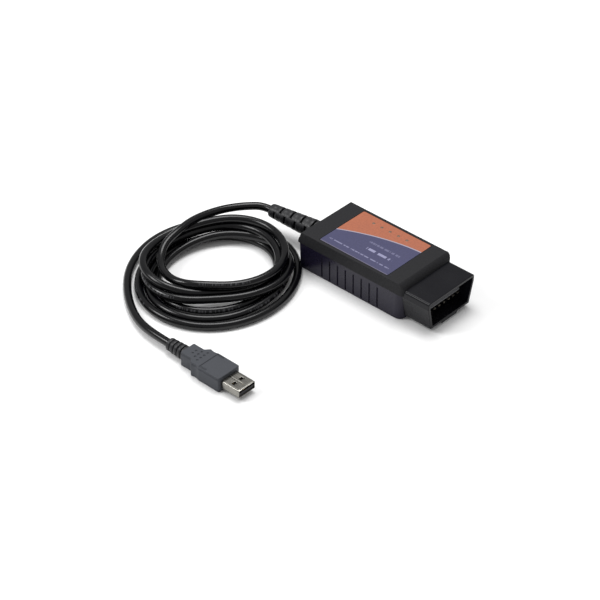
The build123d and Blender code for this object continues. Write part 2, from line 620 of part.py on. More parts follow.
# ---- everything ---------------------------------------------------------------------------
def main():
    os.makedirs("parts", exist_ok=True)
    save("top_cover", top_cover())
    save("bottom_case", bottom_case())
    save("front_label", front_label())
    save("case_screws", Compound(children=list(case_screws())))
    save("obd_plug_shell", obd_plug_shell())
    save("pin_carrier", pin_carrier())
    save("upper_pins", Compound(children=list(pin_row(1))))
    save("lower_pins", Compound(children=list(pin_row(-1))))
    save("circuit_board", circuit_board())
    save("microcontroller", chip(4.0, -2.6, 17.9, 7.5, 2.5, 14, 1.27))
    save("can_transceiver", chip(10.5, 5.8, 4.9, 3.9, 1.6, 4, 1.27))
    save("usb_bridge_chip", chip(-15.5, -2.0, 10.2, 5.3, 1.9, 14, 0.65))
    save("crystals", Compound(children=list(crystals())))
    save("voltage_regulator", voltage_regulator())
    save("electrolytic_capacitors", Compound(children=list(electrolytic_capacitors())))
    save("chip_components", Compound(children=list(chip_components())))
    save("indicator_leds", Compound(children=list(indicator_leds())))
    save("cable_header", cable_header())
    save("cable_connector", cable_connector())
    for slot, colour in enumerate(("red", "white", "green", "black")):
        save(f"{colour}_wire", conductor(slot))
    save("strain_relief", strain_relief())
    save("cable_stub", cable_stub())
    coil = cable_coil()
    save("cable_coil", coil)
    save("cable_lead", largest(cable_tube("lead", LEAD_ROUTE) - coil))
    save("cable_tail", largest(cable_tube("tail", TAIL_ROUTE) - coil))
    save("usb_boot", usb_boot())
    save("usb_grip", usb_grip())
    save("usb_shell", usb_shell())
    save("usb_insulator", usb_insulator())
    save("usb_contacts", Compound(children=list(usb_contacts())))


main()
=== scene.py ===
import math

import bmesh
import bpy
import numpy as np
from mathutils import Matrix, Vector


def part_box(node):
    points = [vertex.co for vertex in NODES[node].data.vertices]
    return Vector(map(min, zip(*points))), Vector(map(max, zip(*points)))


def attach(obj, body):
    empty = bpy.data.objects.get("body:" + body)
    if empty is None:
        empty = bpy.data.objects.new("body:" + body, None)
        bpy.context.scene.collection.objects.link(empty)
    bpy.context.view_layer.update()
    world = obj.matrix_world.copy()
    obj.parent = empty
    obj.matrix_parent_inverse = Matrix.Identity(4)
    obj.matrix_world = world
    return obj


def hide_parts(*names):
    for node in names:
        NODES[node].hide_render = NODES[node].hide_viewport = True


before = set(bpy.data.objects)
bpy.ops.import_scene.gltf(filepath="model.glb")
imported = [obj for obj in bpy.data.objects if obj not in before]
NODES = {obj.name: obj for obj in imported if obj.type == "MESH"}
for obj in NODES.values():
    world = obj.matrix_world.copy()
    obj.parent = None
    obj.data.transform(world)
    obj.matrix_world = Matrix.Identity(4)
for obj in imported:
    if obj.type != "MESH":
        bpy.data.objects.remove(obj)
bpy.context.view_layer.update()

bl_info = {
    "name": "Diagnostic Code Reader with USB Lead",
    "version": (1, 0, 0),
    "blender": (4, 5, 0),
    "location": "3D View > Sidebar > Code Reader",
    "description": "Builds the visible surfaces of a car code reader, its coiled lead and its USB plug",
    "category": "Add Mesh",
}

MM = 0.001
AXIS_Z = (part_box("cable_stub")[0].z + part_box("cable_stub")[1].z) / 2
CASE_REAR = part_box("bottom_case")[0].x
LABEL_LOW, LABEL_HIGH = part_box("front_label")
GRIP_LOW, GRIP_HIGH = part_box("usb_grip")
USB_BOOT_LOW, USB_BOOT_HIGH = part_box("usb_boot")
SHELL_LOW, SHELL_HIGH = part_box("usb_shell")


def linear(hex_colour):
    """An sRGB hex colour as linear red, green and blue."""
    parts = [int(hex_colour[i:i + 2], 16) / 255 for i in (1, 3, 5)]
    return tuple(c / 12.92 if c <= 0.04045 else ((c + 0.055) / 1.055) ** 2.4 for c in parts)


def size(name, text, default):
    """A length that the sidebar shows in the scene's unit; default is in millimetres."""
    return bpy.props.FloatProperty(name=name, description=text, default=default * MM, unit="LENGTH", precision=5)


def colour(name, text, default):
    return bpy.props.FloatVectorProperty(
        name=name, description=text, default=linear(default), subtype="COLOR", size=3, min=0, max=1
    )


# ---- sizes and colours that a user would change ---------------------------------------------
class CodeReaderStudio(bpy.types.PropertyGroup):
    lens: bpy.props.FloatProperty(name="Lens", description="Focal length in millimetres", default=126)
    azimuth: bpy.props.FloatProperty(
        name="Azimuth", description="Camera's turn round the reader", default=math.radians(40.87), subtype="ANGLE"
    )
    elevation: bpy.props.FloatProperty(
        name="Elevation", description="Camera's height angle", default=math.radians(36.86), subtype="ANGLE"
    )
    roll: bpy.props.FloatProperty(
        name="Roll", description="Camera's lean", default=math.radians(1.70), subtype="ANGLE"
    )
    distance: size("Distance", "From the camera to the point it looks at", 1115.94)
    target: bpy.props.FloatVectorProperty(
        name="Target", description="Point the camera looks at", default=(-0.01346, -0.05457, 0.012), subtype="XYZ"
    )
    sky: bpy.props.FloatProperty(name="Sky", description="Strength of the even light all round", default=0.42)
    key: bpy.props.FloatProperty(name="Key light", description="Power of the overhead light", default=8.0, unit="POWER")
    edge: bpy.props.FloatProperty(
        name="Edge light", description="Power of the low side light", default=3.6, unit="POWER"
    )
    floor_colour: colour("Floor", "Pale table top", "#fbfbfb")


class CodeReaderCable(bpy.types.PropertyGroup):
    diameter: size("Diameter", "Thickness of the lead's jacket", 4.65)
    touching: size("Touching", "Least distance between the middles of two turns", 4.72)
    jacket: colour("Jacket", "Glossy vinyl of the lead", "#050507")


class CodeReaderBoot(bpy.types.PropertyGroup):
    length: size("Length", "From the case to the tip", 35.7)
    root: size("Root radius", "Beside the collar", 6.1)
    tip: size("Tip radius", "Where the lead comes out", 3.9)
    core: size("Core radius", "At the floor of the slots", 2.9)
    collar: size("Collar radius", "Ring that stands against the case", 6.6)
    slot: size("Slot", "Width of each slot along the boot", 1.2)
    pitch: size("Pitch", "From one slot to the next", 3.7)
    slots: bpy.props.IntProperty(name="Slots", description="How many, turned a quarter each time", default=8)
    yaw: bpy.props.FloatProperty(name="Yaw", description="Lean to the side", default=math.radians(5.6), subtype="ANGLE")
    lift: bpy.props.FloatProperty(name="Lift", description="Lean upwards", default=math.radians(0.9), subtype="ANGLE")
    rubber: colour("Vinyl", "Soft vinyl of both boots", "#1b1b1e")


class CodeReaderUsb(bpy.types.PropertyGroup):
    neck: size("Neck", "Length of the narrow rear part", 7.2)
    neck_width: size("Neck width", "Across the narrow rear part", 10.0)
    shoulder: size("Shoulder", "Length of the slanted step", 2.8)
    waist: size("Waist", "Length of the hollowed sides", 5.4)
    waist_depth: size("Waist depth", "How far the sides pull in", 0.5)
    edge: size("Edge", "Rounding of the long edges", 0.55)
    dimple: size("Dimple", "Radius of a thumb dimple", 0.7)
    dimple_depth: size("Dimple depth", "Depth of a thumb dimple", 0.55)
    rib_pitch: size("Rib pitch", "Between the fine edge ribs", 0.85)
    ribs: bpy.props.IntProperty(name="Ribs", description="Fine ribs at each upper edge", default=5)
    rings: bpy.props.IntProperty(name="Rings", description="Rings on the small boot", default=4)
    window: size("Window", "Side of the square windows in the metal", 2.5)
    skin: size("Sheet", "Thickness of the metal", 0.3)
    grip_colour: colour("Grip", "Vinyl moulded round the plug", "#46484d")
    metal: colour("Metal", "Nickel-plated steel", "#918f89")


class CodeReaderLabel(bpy.types.PropertyGroup):
    upper: colour("Upper field", "Printed orange", "#a35d40")
    lower: colour("Lower field", "Printed violet blue", "#3a3a5c")
    line: colour("Line", "Pale line between the fields", "#9d95a2")
    line_width: size("Line width", "Width of the pale line", 0.8)
    lights: bpy.props.IntProperty(name="Lights", description="Number of light windows", default=5)
    light_pitch: size("Light pitch", "From one light window to the next", 5.9)
    light_radius: size("Light radius", "Radius of a light window", 0.9)


class CodeReaderCase(bpy.types.PropertyGroup):
    cover: colour("Cover", "Grained plastic of the upper half", "#262628")
    # the lower case is dark plastic; its blue tint is a painted sheen standing for reflected light
    body: colour("Lower case", "Smoother plastic of the lower half", "#191626")
    plug: colour("Plug", "Smooth plastic of the diagnostic plug", "#0f0f14")


class CodeReaderSettings(bpy.types.PropertyGroup):
    studio: bpy.props.PointerProperty(type=CodeReaderStudio)
    cable: bpy.props.PointerProperty(type=CodeReaderCable)
    boot: bpy.props.PointerProperty(type=CodeReaderBoot)
    usb: bpy.props.PointerProperty(type=CodeReaderUsb)
    label: bpy.props.PointerProperty(type=CodeReaderLabel)
    case: bpy.props.PointerProperty(type=CodeReaderCase)


# ---- materials ------------------------------------------------------------------------------
NOISE_LOW, NOISE_HIGH = 0.3, 0.7       # nearly all of a noise's values lie between these
PRINT_SIDE, PRINT_HALF = 0.3, 0.045    # where the lead's printed marks lie round it, as shares of a turn
PRINT_GROUPS, PRINT_SHARE = 11.0, 0.3  # groups of marks along the lead, and how much of each is printed
TICKS_ALONG, TICK_LEVEL, TICK_INK = 900.0, 0.52, 0.22    # how fine the marks are, their noise level, their strength
LINE_LEVEL, LINE_SLOPE, LINE_CURVE = 7.5, 0.2302, -0.00493     # the label line's height, slope and bend, in mm
LABEL_EDGE, EDGE_PALENESS, DASH_LEVEL = 0.35, 0.45, 0.46 # the film's cut edge in mm, and noise level of a dash
LABEL_BARS = (                         # in mm: middle, height, begin, end, dash length; then strength
    (-13.6, 0.9, -29.0, 12.9, 1.7, 0.42), (-7.0, 1.9, -7.9, 9.7, 2.6, 0.6), (-1.4, 1.5, -10.8, 11.0, 1.3, 0.22),
)


def add(tree, kind, links=None, **settings):
    """Adds a node with its settings. links gives each input a socket or a value, and inputs that share a
    name go by their number."""
    made = tree.nodes.new(kind)
    for key, value in settings.items():
        setattr(made, key, value)
    for key, value in (links or {}).items():
        if isinstance(value, bpy.types.NodeSocket):
            tree.links.new(value, made.inputs[key])
        else:
            made.inputs[key].default_value = value
    return made


def maths(tree, kind, *values):
    return add(tree, "ShaderNodeMath", dict(enumerate(values)), operation=kind).outputs[0]


def noise(tree, place, grain, detail, unit=MM):
    """Noise with marks of about grain; unit is one millimetre in the units of place."""
    scale = 1 / (grain * unit)
    return add(tree, "ShaderNodeTexNoise", {"Vector": place, "Scale": scale, "Detail": detail}).outputs["Fac"]


def spread(tree, value, low, high):
    """A noise stretched to run from low to high."""
    return add(
        tree, "ShaderNodeMapRange", {0: value, 1: NOISE_LOW, 2: NOISE_HIGH, 3: low, 4: high}
    ).outputs[0]


def blend(tree, amount, first, second, **settings):
    """A mix of two colours."""
    return add(tree, "ShaderNodeMix", {0: amount, 6: first, 7: second}, data_type="RGBA", **settings).outputs[2]


def scaled(tree, vector, factor):
    return add(tree, "ShaderNodeVectorMath", {0: vector, "Scale": factor}, operation="SCALE").outputs[0]


def emboss(tree, shader, height, depth, strength=1.0):
    """Raises the surface by a pattern, depth in millimetres."""
    bump = add(tree, "ShaderNodeBump", {"Height": height, "Distance": depth * MM, "Strength": strength})
    tree.links.new(bump.outputs[0], shader.inputs["Normal"])


def shade(base, factor):
    return (*(min(c * factor, 1.0) for c in base), 1.0)


def start(name, base, **sockets):
    """A new material, its tree and its shader, with uniform values set on the shader itself."""
    material = bpy.data.materials.new(name)
    material.use_nodes = True
    material.diffuse_color = shade(base, 1)
    shader = material.node_tree.nodes["Principled BSDF"]
    shader.inputs["Base Color"].default_value = shade(base, 1)
    for key, value in sockets.items():
        shader.inputs[key.replace("_", " ").title().replace("Ior", "IOR")].default_value = value
    return material, material.node_tree, shader


def moulded(name, base, roughness, grain, relief, cloud=0.12, patch=18, **sockets):
    """Injection-moulded plastic. The tool's eroded grain breaks the shine up, and slow patches of shade
    and gloss show where the melt cooled unevenly. grain, relief and patch are in millimetres."""
    material, tree, shader = start(name, base, roughness=roughness, **sockets)
    place = add(tree, "ShaderNodeTexCoord").outputs["Object"]
    slow, fine = noise(tree, place, patch, 3.0), noise(tree, place, grain, 2.5)
    mixed = blend(tree, slow, shade(base, 1 - cloud), shade(base, 1 + cloud))
    tinted = scaled(tree, mixed, spread(tree, fine, 0.86, 1.14))
    tree.links.new(tinted, shader.inputs["Base Color"])
    tree.links.new(spread(tree, slow, roughness - 0.05, roughness + 0.05), shader.inputs["Roughness"])
    emboss(tree, shader, fine, relief)
    return material


def metal(name, base, roughness, along, across, relief):
    """Rolled or turned metal. Its fine drawn marks are long one way and narrow the other, so highlights
    smear across them. along and across are the marks' sizes in millimetres."""
    material, tree, shader = start(name, base, metallic=1.0, roughness=roughness)
    place = add(tree, "ShaderNodeTexCoord").outputs["Object"]
    stretched = add(
        tree, "ShaderNodeMapping", {"Vector": place, "Scale": (1 / (along * MM), 1 / (across * MM), 1 / (across * MM))}
    )
    marks, slow = noise(tree, stretched.outputs[0], 1.0, 3.0, unit=1), noise(tree, place, 4, 2.0)
    mixed = blend(tree, slow, shade(base, 0.82), shade(base, 1.1))
    tree.links.new(mixed, shader.inputs["Base Color"])
    tree.links.new(spread(tree, marks, roughness * 0.75, roughness * 1.3), shader.inputs["Roughness"])
    emboss(tree, shader, marks, relief, 0.6)
    return material


def cable_jacket():
    """Extruded PVC: smooth and glossy with a faint orange peel, which gives long thin highlights. Pale
    unlettered ticks along one side stand for the printed marking."""
    base = chosen().cable.jacket
    material, tree, shader = start("Extruded_PVC_jacket", base, roughness=0.2, specular_ior_level=0.36)
    spots = add(tree, "ShaderNodeTexCoord")
    peel, slow = noise(tree, spots.outputs["Object"], 1.6, 2.0), noise(tree, spots.outputs["Object"], 14, 2.0)
    plain = blend(tree, slow, shade(base, 0.8), shade(base, 1.4))
    along = add(tree, "ShaderNodeSeparateXYZ", {0: spots.outputs["UV"]})
    stretch = maths(tree, "MULTIPLY", along.outputs["X"], TICKS_ALONG)
    ticks = add(tree, "ShaderNodeTexNoise", {"W": stretch, "Scale": 1.0}, noise_dimensions="1D").outputs["Fac"]
    inked = maths(tree, "GREATER_THAN", ticks, TICK_LEVEL)
    spaced = maths(tree, "FRACT", maths(tree, "MULTIPLY", along.outputs["X"], PRINT_GROUPS))
    printed = maths(tree, "LESS_THAN", spaced, PRINT_SHARE)
    off_side = maths(tree, "ABSOLUTE", maths(tree, "SUBTRACT", along.outputs["Y"], PRINT_SIDE))
    band = maths(tree, "LESS_THAN", off_side, PRINT_HALF)
    mask = maths(tree, "MULTIPLY", maths(tree, "MULTIPLY", inked, printed), band)
    printed_on = blend(tree, maths(tree, "MULTIPLY", mask, TICK_INK), plain, shade(linear("#77777c"), 1))
    tree.links.new(printed_on, shader.inputs["Base Color"])
    emboss(tree, shader, peel, 0.03)
    return material


def label_film():
    """Polyester film, printed on its face: matt and even, with a fine weave of ink dots that only
    shows as a soft mottle. Two colour fields meet at a bowed pale line, and plain bars stand for text."""
    look = chosen().label
    material, tree, shader = start("Printed_polyester_label", look.upper, roughness=0.46, ior=1.5)
    in_mm = scaled(tree, add(tree, "ShaderNodeTexCoord").outputs["Object"], 1000.0)
    split = add(tree, "ShaderNodeSeparateXYZ", {0: in_mm})
    x, y = split.outputs["X"], split.outputs["Y"]
    bend = maths(tree, "MULTIPLY", maths(tree, "MULTIPLY", x, x), LINE_CURVE)
    slope = maths(tree, "ADD", bend, maths(tree, "MULTIPLY", x, LINE_SLOPE))
    over = maths(tree, "SUBTRACT", y, maths(tree, "ADD", slope, LINE_LEVEL))
    dots, slow = noise(tree, in_mm, 1.1, 2.0, unit=1), noise(tree, in_mm, 9.0, 2.0, unit=1)
    is_upper = add(tree, "ShaderNodeMapRange", {0: over, 1: -0.05, 2: 0.05}).outputs[0]
    fields = blend(tree, is_upper, shade(look.lower, 1), shade(look.upper, 1))
    warm = blend(tree, slow, (0.93, 0.93, 1.0, 1), (1.06, 1.04, 1.0, 1))
    toned = blend(tree, 1.0, fields, warm, blend_type="MULTIPLY")
    tinted = scaled(tree, toned, spread(tree, dots, 0.9, 1.1))

    def between(value, low, high):
        return maths(
            tree, "MULTIPLY", maths(tree, "GREATER_THAN", value, low), maths(tree, "LESS_THAN", value, high)
        )

    def bar(middle, tall, begin, end, dash, strength):
        """Row of plain dashes of uneven length."""
        breaks = add(tree, "ShaderNodeTexNoise", {"W": x, "Scale": 1 / dash}, noise_dimensions="1D").outputs["Fac"]
        inked = maths(tree, "MULTIPLY", between(x, begin, end), maths(tree, "GREATER_THAN", breaks, DASH_LEVEL))
        row = maths(tree, "MULTIPLY", inked, between(y, middle - tall / 2, middle + tall / 2))
        return maths(tree, "MULTIPLY", row, strength)

    marks = 0.0
    for row in LABEL_BARS:
        marks = maths(tree, "ADD", marks, bar(*row))
    printed = blend(tree, marks, tinted, shade(linear("#a9a8c8"), 1))
    half = look.line_width / MM / 2
    edge = between(y, LABEL_LOW.y / MM, LABEL_LOW.y / MM + LABEL_EDGE)
    pale = maths(tree, "MAXIMUM", between(over, -half, half), maths(tree, "MULTIPLY", edge, EDGE_PALENESS))
    tree.links.new(blend(tree, pale, printed, shade(look.line, 1)), shader.inputs["Base Color"])
    emboss(tree, shader, dots, 0.02, 0.6)
    return material


def board_laminate():
    """Glass-epoxy laminate under green solder mask: glossy, with copper tracks showing as paler green."""
    base = linear("#17492f")
    material, tree, shader = start("FR4_solder_mask", base, roughness=0.3)
    place = add(tree, "ShaderNodeTexCoord").outputs["Object"]
    tracks = add(
        tree, "ShaderNodeTexBrick",
        {"Vector": place, "Scale": 1 / (6 * MM), "Mortar Size": 0.04, "Brick Width": 1.3, "Row Height": 0.22,
         "Color1": shade(base, 0.9), "Color2": shade(base, 1.1), "Mortar": shade(base, 1.9)},
    )
    tree.links.new(tracks.outputs["Color"], shader.inputs["Base Color"])
    emboss(tree, shader, tracks.outputs["Fac"], 0.035, 0.5)
    return material


def dress(material, *names):
    """Gives a material to CAD nodes that stay."""
    for name in names:
        node = NODES[name]
        if not node.material_slots:
            node.data.materials.append(material)
        for place in node.material_slots:
            place.material = material


# ---- shapes ---------------------------------------------------------------------------------
def chosen():
    return bpy.context.scene.code_reader


def shown(name, mesh):
    piece = bpy.data.objects.new(name, mesh)
    bpy.context.scene.collection.objects.link(piece)
    return piece


def solid(name, points, faces, material, crease=35):
    """A piece from millimetre points and faces, with its faces outwards and its shallow edges smooth."""
    mesh = bpy.data.meshes.new(name)
    mesh.from_pydata([tuple(c * MM for c in p) for p in points], [], [tuple(f) for f in faces])
    sewn = bmesh.new()
    sewn.from_mesh(mesh)
    bmesh.ops.remove_doubles(sewn, verts=sewn.verts, dist=1e-7)
    bmesh.ops.recalc_face_normals(sewn, faces=sewn.faces)
    sewn.to_mesh(mesh)
    sewn.free()
    smooth(mesh, crease)
    mesh.materials.append(material)
    return shown(name, mesh)


def smooth(mesh, crease):
    mesh.shade_smooth()
    mesh.set_sharp_from_angle(angle=math.radians(crease))


def circle(columns):
    return np.arange(columns) * 2 * math.pi / columns


def rounded_in(depth, radius):
    """How far a rounded edge of this radius has drawn in, at a depth from the end face."""
    return radius - math.sqrt(max(0.0, radius ** 2 - (radius - depth) ** 2)) if depth < radius else 0.0


def quads(rows, around):
    """Faces between rows of points, as (row, column, face)."""
    for r in range(rows - 1):
        for c in range(around):
            d = (c + 1) % around
            yield r, c, (r * around + c, r * around + d, (r + 1) * around + d, (r + 1) * around + c)


def skin(rows):
    """Points and faces of a closed skin through rows of equally many points, with a fan at each end."""
    count, around = rows.shape[:2]
    points = [tuple(p) for p in rows.reshape(-1, 3)]
    faces = [face for _, _, face in quads(count, around)]
    for r in (0, count - 1):
        points.append(tuple(rows[r].mean(axis=0)))
        faces += [(r * around + c, r * around + (c + 1) % around, len(points) - 1) for c in range(around)]
    return points, faces


def ease(value, low, high):
    """0 below low, 1 above high, and a smooth step between."""
    t = np.clip((value - low) / (high - low), 0, 1)
    return t * t * (3 - 2 * t)


def baked(piece):
    """Turns a piece with modifiers into a plain mesh."""
    view = bpy.context.evaluated_depsgraph_get()
    mesh = bpy.data.meshes.new_from_object(piece.evaluated_get(view), depsgraph=view)
    piece.modifiers.clear()
    piece.data = mesh
    return piece


def repeat_along(name, thing, material, count, first, step, size_first=1.0, size_step=0.0, beside=None, crease=35):
    """Geometry Nodes: copies of one shape in a row, each a little larger or smaller than the last, and
    the mesh beside them if there is one."""
    tree = bpy.data.node_groups.new(name + "_row", "GeometryNodeTree")
    face = tree.interface
    face.new_socket("Geometry", in_out="INPUT", socket_type="NodeSocketGeometry")
    named = {
        "Count": ("NodeSocketInt", count), "First place": ("NodeSocketVector", first),
        "Step": ("NodeSocketVector", step), "First size": ("NodeSocketFloat", size_first),
        "Size step": ("NodeSocketFloat", size_step), "Shape": ("NodeSocketObject", thing),
        "Finish": ("NodeSocketMaterial", material),
    }
    made = {key: face.new_socket(key, in_out="INPUT", socket_type=kind) for key, (kind, _) in named.items()}
    face.new_socket("Geometry", in_out="OUTPUT", socket_type="NodeSocketGeometry")
    given = tree.nodes.new("NodeGroupInput").outputs
    row = add(
        tree, "GeometryNodeMeshLine",
        {"Count": given["Count"], "Start Location": given["First place"], "Offset": given["Step"]}, mode="OFFSET",
    )
    shape = add(tree, "GeometryNodeObjectInfo", {"Object": given["Shape"]})
    number = add(tree, "GeometryNodeInputIndex")
    grown = maths(tree, "MULTIPLY_ADD", number.outputs[0], given["Size step"], given["First size"])
    across = add(tree, "ShaderNodeCombineXYZ", {0: 1.0, 1: grown, 2: grown})
    copies = add(
        tree, "GeometryNodeInstanceOnPoints",
        {"Points": row.outputs[0], "Instance": shape.outputs["Geometry"], "Scale": across.outputs[0]},
    )
    real = add(tree, "GeometryNodeRealizeInstances", {0: copies.outputs[0]})
    joined = add(tree, "GeometryNodeJoinGeometry")
    tree.links.new(real.outputs[0], joined.inputs[0])
    tree.links.new(given["Geometry"], joined.inputs[0])
    coated = add(tree, "GeometryNodeSetMaterial", {"Geometry": joined.outputs[0], "Material": given["Finish"]})
    add(tree, "NodeGroupOutput", {0: coated.outputs[0]})
    piece = shown(name, beside.data.copy() if beside else bpy.data.meshes.new(name))
    filled = piece.modifiers.new("Row", "NODES")
    filled.node_group = tree
    for key, (_, value) in named.items():
        filled[made[key].identifier] = value
    baked(piece)
    for used in (thing, beside):
        if used:
            bpy.data.objects.remove(used)
    smooth(piece.data, crease)
    return piece


def lathe(name, profile, material, columns=48, middle=(0, 0, 0)):
    """A turned shape about X through middle, from (x, radius) pairs in millimetres."""
    turn = circle(columns)
    rows = np.array([
        np.stack([np.full(columns, x), r * np.cos(turn), r * np.sin(turn)], axis=1) for x, r in profile
    ])
    points, faces = skin(rows + np.array(middle))
    return solid(name, points, faces, material)


def placed(piece, slot, *nodes):
    """The piece rides on the reader and stands for these CAD nodes, which it hides; slot is not used."""
    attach(piece, "root")
    if nodes:
        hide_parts(*nodes)
    return piece


# ---- the lead -------------------------------------------------------------------------------
LEAD_ROUTE = [
    (-81.225, -3.483, 12.711), (-87.196, -4.069, 12.805), (-92.6, -9.6, 12.9), (-96.8, -15.4, 13.1),
    (-100.6, -23.0, 13.4), (-103.2, -33.4, 14.0), (-104.0, -45.0, 14.6), (-102.4, -57.0, 14.4),
]
TAIL_ROUTE = [
    (-78.0, -17.2, 2.345), (-95.0, -19.2, 2.345), (-110.4, -28.6, 2.345), (-117.0, -42.4, 2.345),
    (-118.9, -58.4, 2.345), (-115.6, -74.4, 2.345), (-108.4, -89.0, 2.345), (-97.4, -101.4, 2.375),
    (-84.2, -111.6, 2.525), (-70.4, -119.0, 3.225), (-56.2, -122.2, 4.5), (-43.6, -122.2, 4.5),
]
COIL_MIDDLE, COIL_REACH = (-68.0, -60.0), (39.6, 45.0)    # the widest turn, which lies on the table
# How the six turns lie, from the top one down: the angle in degrees, the distance in from the widest
# turn, and the height.
COIL_LIE = [
    (176.0, 5.6, 14.4), (187.6, 5.4, 13.0), (198.4, 5.9, 11.0), (208.8, 8.4, 9.2), (221.4, 10.9, 8.4),
    (245.6, 15.2, 9.2), (311.4, 20.5, 10.8), (401.4, 7.0, 11.2), (446.0, 3.5, 13.0), (491.4, 0.5, 12.9),
    (519.0, 0.4, 11.0), (536.0, 1.0, 10.4), (581.4, 0.7, 10.9), (671.4, 21.0, 6.3), (761.4, 7.5, 6.9),
    (806.0, 4.4, 8.0), (851.4, 1.6, 8.4), (896.0, 1.4, 7.2), (941.4, 1.2, 6.6), (1031.4, 16.5, 6.7),
    (1121.4, 3.0, 6.6), (1166.0, 3.4, 6.6), (1211.4, 4.4, 6.7), (1256.0, 6.6, 4.2), (1301.4, 8.4, 2.4),
    (1391.4, 11.3, 2.4), (1481.4, 10.3, 2.4), (1526.0, 5.8, 2.4), (1571.4, 2.6, 2.4), (1616.0, 3.0, 2.4),
    (1661.4, 3.6, 2.4), (1751.4, 4.0, 2.4), (1841.4, 5.4, 2.4), (1886.0, 1.0, 2.4), (1931.4, -2.2, 2.4),
    (1976.0, -1.2, 2.4), (2021.4, -1.2, 2.4), (2111.4, -2.8, 2.4), (2201.4, 0.5, 2.4), (2264.6, 0.0, 2.4),
]
COIL_STEP = 15.0                                         # degrees between the cord's points in the coil
CORD_FLOOR = 2.345                                       # height of the cord's middle on the table
PUSHES, NEAR_ALONG = 80, 7       # rounds of pushing apart, and points along the cord that don't push each other


def coil_turns():
    """Points of the coil's turns, eased from one lie to the next."""
    lie = np.array(COIL_LIE)
    slopes = np.zeros((len(lie), 2))
    slopes[1:-1] = (lie[2:, 1:] - lie[:-2, 1:]) / (lie[2:, :1] - lie[:-2, :1])
    points = []
    for turn in np.arange(lie[0, 0] + COIL_STEP, lie[-1, 0] - COIL_STEP / 2, COIL_STEP):
        i = int(np.searchsorted(lie[:, 0], turn)) - 1
        span = lie[i + 1, 0] - lie[i, 0]
        s = (turn - lie[i, 0]) / span
        inward, height = (
            lie[i, 1:] * (2 * s ** 3 - 3 * s ** 2 + 1) + slopes[i] * span * (s ** 3 - 2 * s ** 2 + s)
            + lie[i + 1, 1:] * (3 * s ** 2 - 2 * s ** 3) + slopes[i + 1] * span * (s ** 3 - s ** 2)
        )
        angle = math.radians(turn)
        points.append((
            COIL_MIDDLE[0] + (COIL_REACH[0] - inward) * math.cos(angle),
            COIL_MIDDLE[1] + (COIL_REACH[1] - inward) * math.sin(angle),
            height,
        ))
    return np.array(points)


def settled(turns, gap):
    """The whole cord's points, with the turns pushed apart until each lies against its neighbours."""
    first, last = len(LEAD_ROUTE), len(LEAD_ROUTE) + len(turns)
    line = np.vstack([LEAD_ROUTE, turns, TAIL_ROUTE])
    number = np.arange(len(line) - 1)
    for _ in range(PUSHES):
        begin, run = line[:-1], line[1:] - line[:-1]
        moved = np.zeros_like(line)
        for i in range(first, last):
            share = np.clip(((line[i] - begin) * run).sum(1) / (run * run).sum(1), 0, 1)
            away = line[i] - begin - run * share[:, None]
            apart = np.linalg.norm(away, axis=1)
            near = (apart < gap) & (abs(number - i) > NEAR_ALONG)
            moved[i] = (away[near] / apart[near, None] * (gap - apart[near, None])).sum(0) / 2
        shift = (line + moved)[first:last] - turns
        shift[1:-1] = shift[1:-1] / 2 + (shift[:-2] + shift[2:]) / 4
        line[first:last] = turns + shift
        line[:, 2] = np.maximum(line[:, 2], CORD_FLOOR)
    return line


class READER_OT_usb_cable(bpy.types.Operator):
    """Lay the lead: out of the boot, round its loose coil and across to the small plug"""
    bl_idname = "code_reader.usb_cable"
    bl_label = "Lead"

    def execute(self, context):
        sizes = chosen().cable
        line = settled(coil_turns(), sizes.touching / MM)
        curve = bpy.data.curves.new("usb_cable", "CURVE")
        curve.dimensions = "3D"
        spline = curve.splines.new("NURBS")
        spline.points.add(len(line) - 1)
        for point, place in zip(spline.points, line):
            point.co = (*(c * MM for c in place), 1)
        spline.order_u = 3
        spline.use_endpoint_u = True
        spline.resolution_u = 6
        curve.bevel_depth = sizes.diameter / 2
        curve.bevel_resolution = 5
        curve.use_fill_caps = True
        curve.materials.append(cable_jacket())
        cable = shown("usb_cable", curve)
        placed(cable, "cable_jacket", "cable_lead", "cable_coil", "cable_tail")
        return {"FINISHED"}


